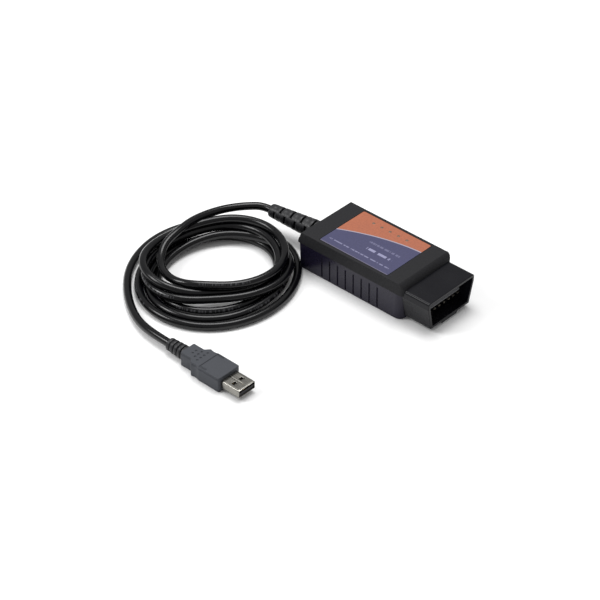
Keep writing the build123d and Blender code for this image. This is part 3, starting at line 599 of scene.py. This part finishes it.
# ---- strain relief --------------------------------------------------------------------------
class READER_OT_strain_relief(bpy.types.Operator):
    """Mould the long slotted boot that holds the lead to the case"""
    bl_idname = "code_reader.strain_relief"
    bl_label = "Strain relief"

    def execute(self, context):
        b = chosen().boot
        length, root, tip, core, collar, slot, pitch = (
            v / MM for v in (b.length, b.root, b.tip, b.core, b.collar, b.slot, b.pitch)
        )
        neck, neck_reach = 4.85, 2.85                 # through the case's rear wall
        flange_reach, flange_half, flange_r = 4.35, 7.5, 8.2    # inside the wall
        collar_end, collar_soft, rounding = 1.6, 0.3, 0.9
        first_slot, reaches, bulge = 5.2, (0.74, 0.56), 0.1      # slots by turns cut from above and from the side
        slots = [first_slot + i * pitch for i in range(b.slots)]
        stations = [-flange_reach, -flange_reach + 0.01, -neck_reach, -neck_reach + 0.01, -0.02, 0.0]
        stations += [0.15, 0.5, 1.3, 1.5, 1.62, 1.75, 2.0, 2.6, 3.4]
        for at in slots:
            for side in (-slot / 2, slot / 2):
                stations += [at + side + edge for edge in (-0.16, -0.1, -0.05, 0, 0.05, 0.1)]
            stations += [at, at + pitch / 2 - 0.5, at + pitch / 2, at + pitch / 2 + 0.5]
        stations += [length - rounding * c for c in (1.0, 0.75, 0.5, 0.3, 0.15, 0.05, 0.0)]
        stations = sorted(s for s in set(stations) if s <= length)
        turn = circle(120)
        facing_lean = 3.2                             # the boot takes this length to turn to its own axis
        rows = []
        for s in stations:
            body = root + (tip - root) * max(s, 0) / length
            radius = np.full(len(turn), body)
            for i, at in enumerate(slots):
                half = reaches[i % 2] * body
                off = np.abs(body * (np.sin(turn) if i % 2 else np.cos(turn)))
                open_here = 1 - ease(off, half - 0.35, half + 0.1)
                open_along = 1 - ease(abs(s - at), slot / 2 - 0.14, slot / 2 + 0.14)
                radius -= (radius - core) * open_here * open_along
                crown = max(0.0, 1 - abs(s - at - pitch / 2) / (pitch / 2 - slot / 2))
                radius += bulge * math.sqrt(crown)
            radius -= rounded_in(length - s, rounding)
            if s < collar_end:
                worn = 1 - ease(s, 0.0, collar_soft) + ease(s, collar_end - collar_soft, collar_end)
                radius[:] = collar - collar_soft * worn
            if s < -0.01:
                radius[:] = neck
            if s <= -neck_reach:
                wide, tall = np.abs(np.cos(turn)), np.abs(np.sin(turn))
                radius[:] = np.minimum(flange_half / np.maximum(wide, 1e-3), neck / np.maximum(tall, 1e-3))
                radius[:] = np.minimum(radius, flange_r)
            lean = ease(s, 0.0, facing_lean)
            facing = Matrix.Rotation(b.yaw * lean, 3, "Z") @ Matrix.Rotation(b.lift * lean, 3, "Y")
            axis = Matrix.Rotation(b.yaw, 3, "Z") @ Matrix.Rotation(b.lift, 3, "Y") @ Vector((-1, 0, 0))
            middle = Vector((CASE_REAR / MM, 0, AXIS_Z / MM)) + axis * max(s, 0) + Vector((-min(s, 0), 0, 0))
            side, up = facing @ Vector((0, 1, 0)), facing @ Vector((0, 0, 1))
            rows.append([middle + side * (r * math.cos(a)) + up * (r * math.sin(a)) for r, a in zip(radius, turn)])
        vinyl = moulded("Moulded_PVC_boot", b.rubber, 0.42, 0.5, 0.02, cloud=0.15, patch=6, specular_ior_level=0.4)
        boot = solid("slotted_boot", *skin(np.array(rows)), vinyl, crease=50)
        placed(boot, "boot_rubber", "strain_relief")
        return {"FINISHED"}


# ---- USB plug -------------------------------------------------------------------------------
class READER_OT_usb_boot(bpy.types.Operator):
    """Stack the rings of the small boot behind the plug"""
    bl_idname = "code_reader.usb_boot"
    bl_label = "Small boot"

    def execute(self, context):
        u = chosen().usb
        start_x, end_x = USB_BOOT_LOW.x / MM, USB_BOOT_HIGH.x / MM
        middle = (USB_BOOT_LOW + USB_BOOT_HIGH) / 2 / MM
        vinyl = bpy.data.materials["Moulded_PVC_boot"]
        root, tip = (USB_BOOT_HIGH.z - USB_BOOT_LOW.z) / MM / 2, 3.6
        collar, collar_r = 1.6, root - 0.1            # the plain ring against the grip
        profile = [
            (start_x + 0.4, 2.8), (start_x + 0.5, 3.0), (end_x - collar, 3.2), (end_x - collar + 0.1, collar_r),
            (end_x, collar_r),
        ]
        core = lathe("boot_core", profile, vinyl, middle=(0, middle.y, middle.z))
        pitch = (end_x - start_x - collar) / u.rings
        wide = pitch * 0.36                           # half of a ring, which leaves a gap beside the next
        bead = [(-1, 0.8), (-1, 0.93), (-0.86, 0.98), (-0.5, 1.0), (0, 1.01)]    # shares of wide and tip
        bead += [(-x, r) for x, r in bead[-2::-1]]
        ring = lathe("boot_ring", [(x * wide, r * tip) for x, r in bead], vinyl)
        grown = (root / tip - 1) / u.rings
        rings = repeat_along(
            "small_boot", ring, vinyl, u.rings, Vector((start_x + wide + 0.1, middle.y, middle.z)) * MM,
            Vector((pitch, 0, 0)) * MM, 1.0, grown, beside=core, crease=50,
        )
        placed(rings, "boot_rubber", "usb_boot")
        return {"FINISHED"}


class READER_OT_usb_grip(bpy.types.Operator):
    """Mould the plug's grip, with its waist, thumb dimples, groove and fine edge ribs"""
    bl_idname = "code_reader.usb_grip"
    bl_label = "Grip"

    def execute(self, context):
        u = chosen().usb
        rear, front = GRIP_LOW.x / MM, GRIP_HIGH.x / MM
        axis_y, tall = (GRIP_LOW.y + GRIP_HIGH.y) / 2 / MM, GRIP_HIGH.z / MM
        half = (GRIP_HIGH.y - GRIP_LOW.y) / 2 / MM
        neck, shoulder, waist, neck_half, pulled, edge, dimple, deep, rib = (
            v / MM for v in (
                u.neck, u.shoulder, u.waist, u.neck_width / 2, u.waist_depth, u.edge, u.dimple, u.dimple_depth,
                u.rib_pitch,
            )
        )
        block = neck + shoulder + waist
        front_round, rear_round, end_round, blur = 1.0, 0.4, 0.5, 0.2
        seam_drop, seam_depth, line_depth = 1.35, 0.32, 0.4      # groove along the side, and line across the top
        rib_first, rib_depth, rib_long = 0.95, 0.3, 1.7
        columns, side_rows = 84, 22
        dimple_rows = ((5.2, (-1.25, 1.25)), (8.1, (-2.5, 0, 2.5)), (11.0, (-3.9, -1.3, 1.3, 3.9)))
        dimples = [(rear + along, y) for along, across in dimple_rows for y in across]

        def half_width(s):
            wide = neck_half + (half - blur - neck_half) * ease(s, neck - blur, neck + shoulder + blur)
            hollow = math.sin(math.pi * min(max((s - neck - shoulder) / waist, 0), 1))
            wide += blur * ease(s, neck + shoulder, block) - pulled * hollow
            return wide - rounded_in(front - rear - s, front_round) - rounded_in(s, rear_round)

        def top_drop(x, y, wide):
            """How far the top face lies below its full height."""
            drop = 0.0
            for dx, dy in dimples:
                drop = np.maximum(drop, deep * (1 - ease(np.hypot(x - dx, y - dy), dimple * 0.55, dimple * 1.15)))
            s = x - rear
            drop = np.maximum(drop, line_depth * (1 - ease(abs(s - block), 0.16, 0.42)))
            for i in range(u.ribs):
                notch = 1 - ease(abs(s - block - rib_first - i * rib), 0.06, 0.3)
                drop = np.maximum(drop, rib_depth * notch * ease(np.abs(y), wide - rib_long - 0.4, wide - rib_long))
            return drop

        length = front - rear
        stations = sorted(set(
            list(np.arange(0.6, length - 1.0, 0.17)) + [0, 0.03, 0.1, 0.22, 0.4]
            + [length - d for d in (1.0, 0.8, 0.6, 0.42, 0.28, 0.16, 0.08, 0.03, 0.0)]
        ))
        flat = np.linspace(-1, 1, columns)
        corner = np.linspace(0, math.pi / 2, 6)[1:-1]
        rows = []
        for s in stations:
            x, wide = rear + s, half_width(s)
            ends = rounded_in(length - s, end_round) + rounded_in(s, rear_round)
            carved = 1 if ends < 0.2 else 0           # the rounded ends are left plain
            low, high = ends, tall - ends
            inner = wide - edge
            arc = [(inner + edge * math.sin(a), edge - edge * math.cos(a)) for a in corner]
            side = [
                (wide - carved * seam_depth * (1 - ease(abs(z - high + seam_drop), 0.1, 0.34)), z)
                for z in np.linspace(high - edge, low + edge, side_rows)
            ]
            ring = [(y, high - carved * top_drop(x, y, wide)) for y in flat * inner]
            ring += [(y, high - sunk) for y, sunk in arc] + side + [(y, low + sunk) for y, sunk in arc[::-1]]
            ring += [(y, low + carved * top_drop(x, y, wide)) for y in flat[::-1] * inner]
            ring += [(-y, low + sunk) for y, sunk in arc] + [(-y, z) for y, z in side[::-1]]
            ring += [(-y, high - sunk) for y, sunk in arc[::-1]]
            rows.append([(x, axis_y + y, z) for y, z in ring])
        vinyl = moulded(
            "Moulded_PVC_grip", u.grip_colour, 0.52, 0.45, 0.02, cloud=0.1, patch=7, specular_ior_level=0.15
        )
        grip = solid("plug_grip", *skin(np.array(rows)), vinyl, crease=40)
        placed(grip, "usb_grip_black", "usb_grip")
        return {"FINISHED"}


class READER_OT_usb_shell(bpy.types.Operator):
    """Fold the plug's metal shell, with its seam, windows and spring tongues"""
    bl_idname = "code_reader.usb_shell"
    bl_label = "Metal shell"

    def execute(self, context):
        u = chosen().usb
        start_x, end_x = GRIP_HIGH.x / MM - 1.0, SHELL_HIGH.x / MM
        axis_y, axis_z = (SHELL_LOW.y + SHELL_HIGH.y) / 2 / MM, (SHELL_LOW.z + SHELL_HIGH.z) / 2 / MM
        thick = u.skin / MM
        half = (SHELL_HIGH.y - SHELL_LOW.y) / 2 / MM - thick / 2
        rise = (SHELL_HIGH.z - SHELL_LOW.z) / 2 / MM - thick / 2
        bend, seam = 0.45, 0.07                       # corner radius, and half the seam's gap
        window_x, window_y = GRIP_HIGH.x / MM + 6.4, 2.6
        drop, sheet, play = 0.75, 0.2, 0.25           # spring tongue's reach, thickness and room beside it
        win = u.window / MM
        inner, outer = window_y - win / 2, window_y + win / 2
        top = [(seam, rise), (inner * 0.5, rise), (inner, rise), (outer, rise), (half - bend, rise)]
        arc = [
            (half - bend + bend * math.sin(a), rise - bend + bend * math.cos(a))
            for a in np.linspace(0, math.pi / 2, 6)[1:]
        ]
        right = top + arc
        right += [(y, -z) for y, z in reversed(right)]
        ring = right + [(-y, z) for y, z in reversed(right)]
        stations = [start_x, GRIP_HIGH.x / MM + 2.0, window_x - win / 2, window_x + win / 2, end_x - 1.5, end_x]
        points = [(x, axis_y + y, axis_z + z) for x in stations for y, z in ring]
        around = len(ring)
        faces = []
        for r, c, face in quads(len(stations), around):
            (ya, za), (yb, zb) = ring[c], ring[(c + 1) % around]
            flat_side = abs(abs(za) - rise) < 1e-6 and abs(abs(zb) - rise) < 1e-6
            in_seam = za > 0 and abs(ya) <= seam and abs(yb) <= seam and r < 4
            in_window = r == 2 and {round(abs(ya), 3), round(abs(yb), 3)} == {round(inner, 3), round(outer, 3)}
            if not (flat_side and (in_seam or in_window)):
                faces.append(face)
        steel = metal("Nickel_plated_steel", u.metal, 0.24, 6.0, 0.25, 0.004)
        shell = solid("plug_shell", points, faces, steel)
        thicken = shell.modifiers.new("Sheet", "SOLIDIFY")
        thicken.thickness = thick * MM
        thicken.offset = 0
        worn = shell.modifiers.new("Edge", "BEVEL")
        worn.width = 0.07 * MM
        worn.segments = 2
        worn.limit_method = "ANGLE"
        baked(shell)
        smooth(shell.data, 35)
        placed(shell, "usb_steel", "usb_shell")

        # a spring tongue reaches inwards from an edge of each window
        tongue = []
        wide, run = win / 2 - play, win - 0.3
        for s in np.linspace(0, 1, 7):
            x, z = -run / 2 + run * (1 - s), -drop * math.sin(s * math.pi / 2) * s
            tongue.append([(x, -wide, z), (x, wide, z), (x, wide, z - sheet), (x, -wide, z - sheet)])
        for level, name in ((rise, "upper"), (-rise, "lower")):
            rows = np.array(tongue)
            if level < 0:
                rows = rows * np.array([1, 1, -1])
            spring = solid("spring_" + name, *skin(rows), steel, crease=30)
            pair = repeat_along(
                f"shell_springs_{name}", spring, steel, 2, Vector((window_x, axis_y - window_y, axis_z + level)) * MM,
                Vector((0, 2 * window_y, 0)) * MM, crease=30,
            )
            placed(pair, "usb_steel")
        dress(moulded("Moulded_nylon_insulator", linear("#1b1b1d"), 0.5, 0.4, 0.01), "usb_insulator")
        dress(metal("Gold_flash_contacts", linear("#d7b469"), 0.25, 3.0, 0.2, 0.003), "usb_contacts")
        return {"FINISHED"}


# ---- reader ---------------------------------------------------------------------------------
class READER_OT_case(bpy.types.Operator):
    """Finish the two halves of the case and its screws"""
    bl_idname = "code_reader.case"
    bl_label = "Case"

    def execute(self, context):
        c = chosen().case
        # spark-eroded tool grain, coarser than life so that it shows
        grained = moulded("Grained_ABS_cover", c.cover, 0.62, 0.9, 0.05, cloud=0.08, specular_ior_level=0.12)
        # the lower case's blue tint is a painted sheen; its dark tone, roughness and grain are its own
        smoother = moulded("Moulded_ABS_lower_case_painted_blue_sheen", c.body, 0.26, 0.7, 0.02, cloud=0.1, specular_ior_level=0.28)
        dress(grained, "top_cover")
        dress(smoother, "bottom_case")
        dress(metal("Zinc_plated_steel_screws", linear("#8f9092"), 0.35, 1.0, 0.3, 0.005), "case_screws")
        return {"FINISHED"}


class READER_OT_label(bpy.types.Operator):
    """Print the label and set its row of light windows"""
    bl_idname = "code_reader.label"
    bl_label = "Label"

    def execute(self, context):
        look = chosen().label
        dress(label_film(), "front_label")
        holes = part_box("indicator_leds")
        middle_x, y = (holes[0].x + holes[1].x) / 2, (holes[0].y + holes[1].y) / 2
        radius, top = look.light_radius / MM, LABEL_HIGH.z / MM
        clear = moulded("Smoked_acrylic_light_pipe", linear("#6f5646"), 0.3, 0.4, 0.01, cloud=0.2, patch=2)
        turn = circle(24)
        profile = [(radius, -0.25), (radius, 0.0), (radius * 0.93, 0.05), (radius * 0.75, 0.09), (radius * 0.4, 0.12)]
        rows = [[(r * math.cos(a), r * math.sin(a), h) for a in turn] for r, h in profile]
        dome = solid("light_dome", *skin(np.array(rows)), clear)
        first = middle_x - (look.lights - 1) / 2 * look.light_pitch
        windows = repeat_along(
            "light_windows", dome, clear, look.lights, Vector((first, y, top * MM)),
            Vector((look.light_pitch, 0, 0)),
        )
        placed(windows, "led_clear")
        return {"FINISHED"}


class READER_OT_obd_plug(bpy.types.Operator):
    """Finish the sixteen-way plug, its pin carrier and its pins"""
    bl_idname = "code_reader.obd_plug"
    bl_label = "Diagnostic plug"

    def execute(self, context):
        c = chosen().case
        shell = moulded("Smooth_ABS_plug", c.plug, 0.26, 0.8, 0.012, cloud=0.1, specular_ior_level=0.2)
        dress(shell, "obd_plug_shell")
        # the pin carrier is painted paler than its own colour: painted light that lifts it out of the shade inside the
        # plug's mouth
        dress(moulded("Nylon_carrier_painted_fill_light", linear("#58585b"), 0.55, 0.5, 0.03, cloud=0.2), "pin_carrier")
        # the pins' dark colour is painted shade for the deep mouth; their high roughness is their own dull finish
        dress(metal("Nickel_plated_pins_painted_shade", linear("#6b675f"), 0.5, 3.0, 0.2, 0.004), "upper_pins", "lower_pins")
        return {"FINISHED"}


class READER_OT_electronics(bpy.types.Operator):
    """Finish the circuit board and what is soldered to it"""
    bl_idname = "code_reader.electronics"
    bl_label = "Circuit board"

    def execute(self, context):
        dress(board_laminate(), "circuit_board")
        dress(
            moulded("Moulded_epoxy_package", linear("#1d1d1f"), 0.6, 0.3, 0.01),
            "microcontroller", "can_transceiver", "usb_bridge_chip", "voltage_regulator",
        )
        dress(metal("Drawn_nickel_silver_can", linear("#c4c4c0"), 0.28, 2.0, 0.2, 0.003), "crystals")
        dress(metal("Drawn_aluminium_can", linear("#b9babd"), 0.32, 2.0, 0.2, 0.003), "electrolytic_capacitors")
        dress(moulded("Fired_ceramic_chip", linear("#a98a62"), 0.45, 0.3, 0.01), "chip_components")
        dress(moulded("Clear_epoxy_lamp", linear("#cfd6c4"), 0.15, 0.5, 0.005), "indicator_leds")
        dress(moulded("Moulded_nylon_header", linear("#dcd8c9"), 0.5, 0.4, 0.01), "cable_header", "cable_connector")
        for name, tint in (("red", "#9c2622"), ("white", "#d6d4cc"), ("green", "#2c6d3d"), ("black", "#17171a")):
            dress(moulded(f"Extruded_PVC_{name}_wire", linear(tint), 0.4, 0.5, 0.01), f"{name}_wire")
        dress(moulded("Stripped_PVC_jacket", linear("#0e0e11"), 0.4, 0.8, 0.01), "cable_stub")
        return {"FINISHED"}


class READER_OT_join_lead(bpy.types.Operator):
    """An empty step: it leaves the lead and its pieces as they are"""
    bl_idname = "code_reader.join_lead"
    bl_label = "Join the lead"

    def execute(self, context):
        return {"FINISHED"}


# ---- stage ----------------------------------------------------------------------------------
KEY_PLACE, KEY_WIDTH = (-0.20, 0.16, 1.0), 0.6           # in metres: overhead, a little behind
EDGE_PLACE, EDGE_WIDTH = (-0.52, -0.55, 0.64), 0.34      # in metres: low, beside the small plug


def soft_light(name, place, aim, width, power):
    data = bpy.data.lights.new(name, "AREA")
    data.shape = "SQUARE"
    data.size = width
    data.energy = power
    lamp = shown(name, data)
    lamp.location = place
    lamp.rotation_euler = (Vector(aim) - Vector(place)).to_track_quat("-Z", "Y").to_euler()
    return lamp


class READER_OT_stage(bpy.types.Operator):
    """Set the camera, the soft lights and the pale table"""
    bl_idname = "code_reader.stage"
    bl_label = "Stage"

    def execute(self, context):
        s = chosen().studio
        scene = context.scene
        back = Vector((
            math.sin(s.azimuth) * math.cos(s.elevation), -math.cos(s.azimuth) * math.cos(s.elevation),
            math.sin(s.elevation),
        ))
        right = (-back).cross(Vector((0, 0, 1))).normalized()
        up = right.cross(-back)
        leant_right = right * math.cos(s.roll) + up * math.sin(s.roll)
        leant_up = up * math.cos(s.roll) - right * math.sin(s.roll)
        data = bpy.data.cameras.new("camera")
        data.lens = s.lens
        data.sensor_width = 36
        data.clip_start, data.clip_end = 0.05, 20
        camera = shown("camera", data)
        facing = Matrix((leant_right, leant_up, back)).transposed().to_4x4()
        camera.matrix_world = Matrix.Translation(Vector(s.target) + back * s.distance) @ facing
        scene.camera = camera
        scene.view_settings.view_transform = "Standard"

        world = bpy.data.worlds.new("studio")
        world.use_nodes = True
        world.node_tree.nodes["Background"].inputs["Color"].default_value = (1, 1, 1, 1)
        world.node_tree.nodes["Background"].inputs["Strength"].default_value = s.sky
        scene.world = world
        aim = tuple(s.target)
        soft_light("key_light", KEY_PLACE, aim, KEY_WIDTH, s.key)
        soft_light("edge_light", EDGE_PLACE, aim, EDGE_WIDTH, s.edge)

        paper, tree, shader = start("Matt_paper_sweep", s.floor_colour, roughness=0.85)
        place = add(tree, "ShaderNodeTexCoord").outputs["Object"]
        emboss(tree, shader, noise(tree, place, 0.8, 2.0), 0.01)
        mesh = bpy.data.meshes.new("table_top")
        reach = 6.0                                   # metres, so that its edge is never seen
        corners = [(-reach, -reach, 0), (reach, -reach, 0), (reach, reach, 0), (-reach, reach, 0)]
        mesh.from_pydata(corners, [], [(0, 1, 2, 3)])
        mesh.materials.append(paper)
        shown("table_top", mesh)
        return {"FINISHED"}


STEPS = (
    READER_OT_stage, READER_OT_usb_cable, READER_OT_strain_relief, READER_OT_usb_boot, READER_OT_usb_grip,
    READER_OT_usb_shell, READER_OT_case, READER_OT_label, READER_OT_obd_plug, READER_OT_electronics,
    READER_OT_join_lead,
)


class READER_PT_sidebar(bpy.types.Panel):
    bl_idname = "READER_PT_sidebar"
    bl_label = "Code Reader"
    bl_space_type = "VIEW_3D"
    bl_region_type = "UI"
    bl_category = "Code Reader"

    def draw(self, context):
        for step in STEPS:
            self.layout.operator(step.bl_idname)
        for group in ("studio", "cable", "boot", "usb", "label", "case"):
            box = self.layout.box()
            held = getattr(context.scene.code_reader, group)
            box.label(text=group.title())
            for key in held.__annotations__:
                box.prop(held, key)


CLASSES = (
    CodeReaderStudio, CodeReaderCable, CodeReaderBoot, CodeReaderUsb, CodeReaderLabel, CodeReaderCase,
    CodeReaderSettings, *STEPS, READER_PT_sidebar,
)


def register():
    for made in CLASSES:
        bpy.utils.register_class(made)
    bpy.types.Scene.code_reader = bpy.props.PointerProperty(type=CodeReaderSettings)


def unregister():
    del bpy.types.Scene.code_reader
    for made in reversed(CLASSES):
        bpy.utils.unregister_class(made)


def main():
    register()
    for step in STEPS:
        group, name = step.bl_idname.split(".")
        getattr(getattr(bpy.ops, group), name)()


if __name__ == "__main__":
    main()
